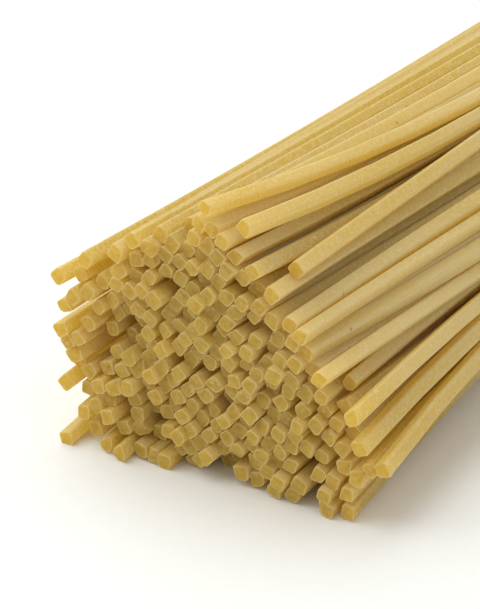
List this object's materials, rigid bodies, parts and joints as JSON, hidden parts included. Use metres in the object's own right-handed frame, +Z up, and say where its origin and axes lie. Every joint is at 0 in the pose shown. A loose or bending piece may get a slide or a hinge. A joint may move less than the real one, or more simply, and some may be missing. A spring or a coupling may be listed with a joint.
{
  "type": "bundle of dry spaghetti",
  "caption": "Loose bundle of dry square-cut spaghetti lying on its side, tight in the middle and fanned out with uneven, stepped strand ends.",
  "frame": {"origin": "middle of the underside, on the surface that the bundle lies on", "axes": "+Y runs along the strands, away from the shown cut ends; +X across the bundle; +Z up"},
  "size_m": [0.0518, 0.264, 0.0408],
  "materials": {
    "pasta": "dry, finely frosted, slightly translucent durum wheat pasta"
  },
  "bodies": {
    "root": {"spaghetti_bundle": "pasta"}
  },
  "joints": []
}
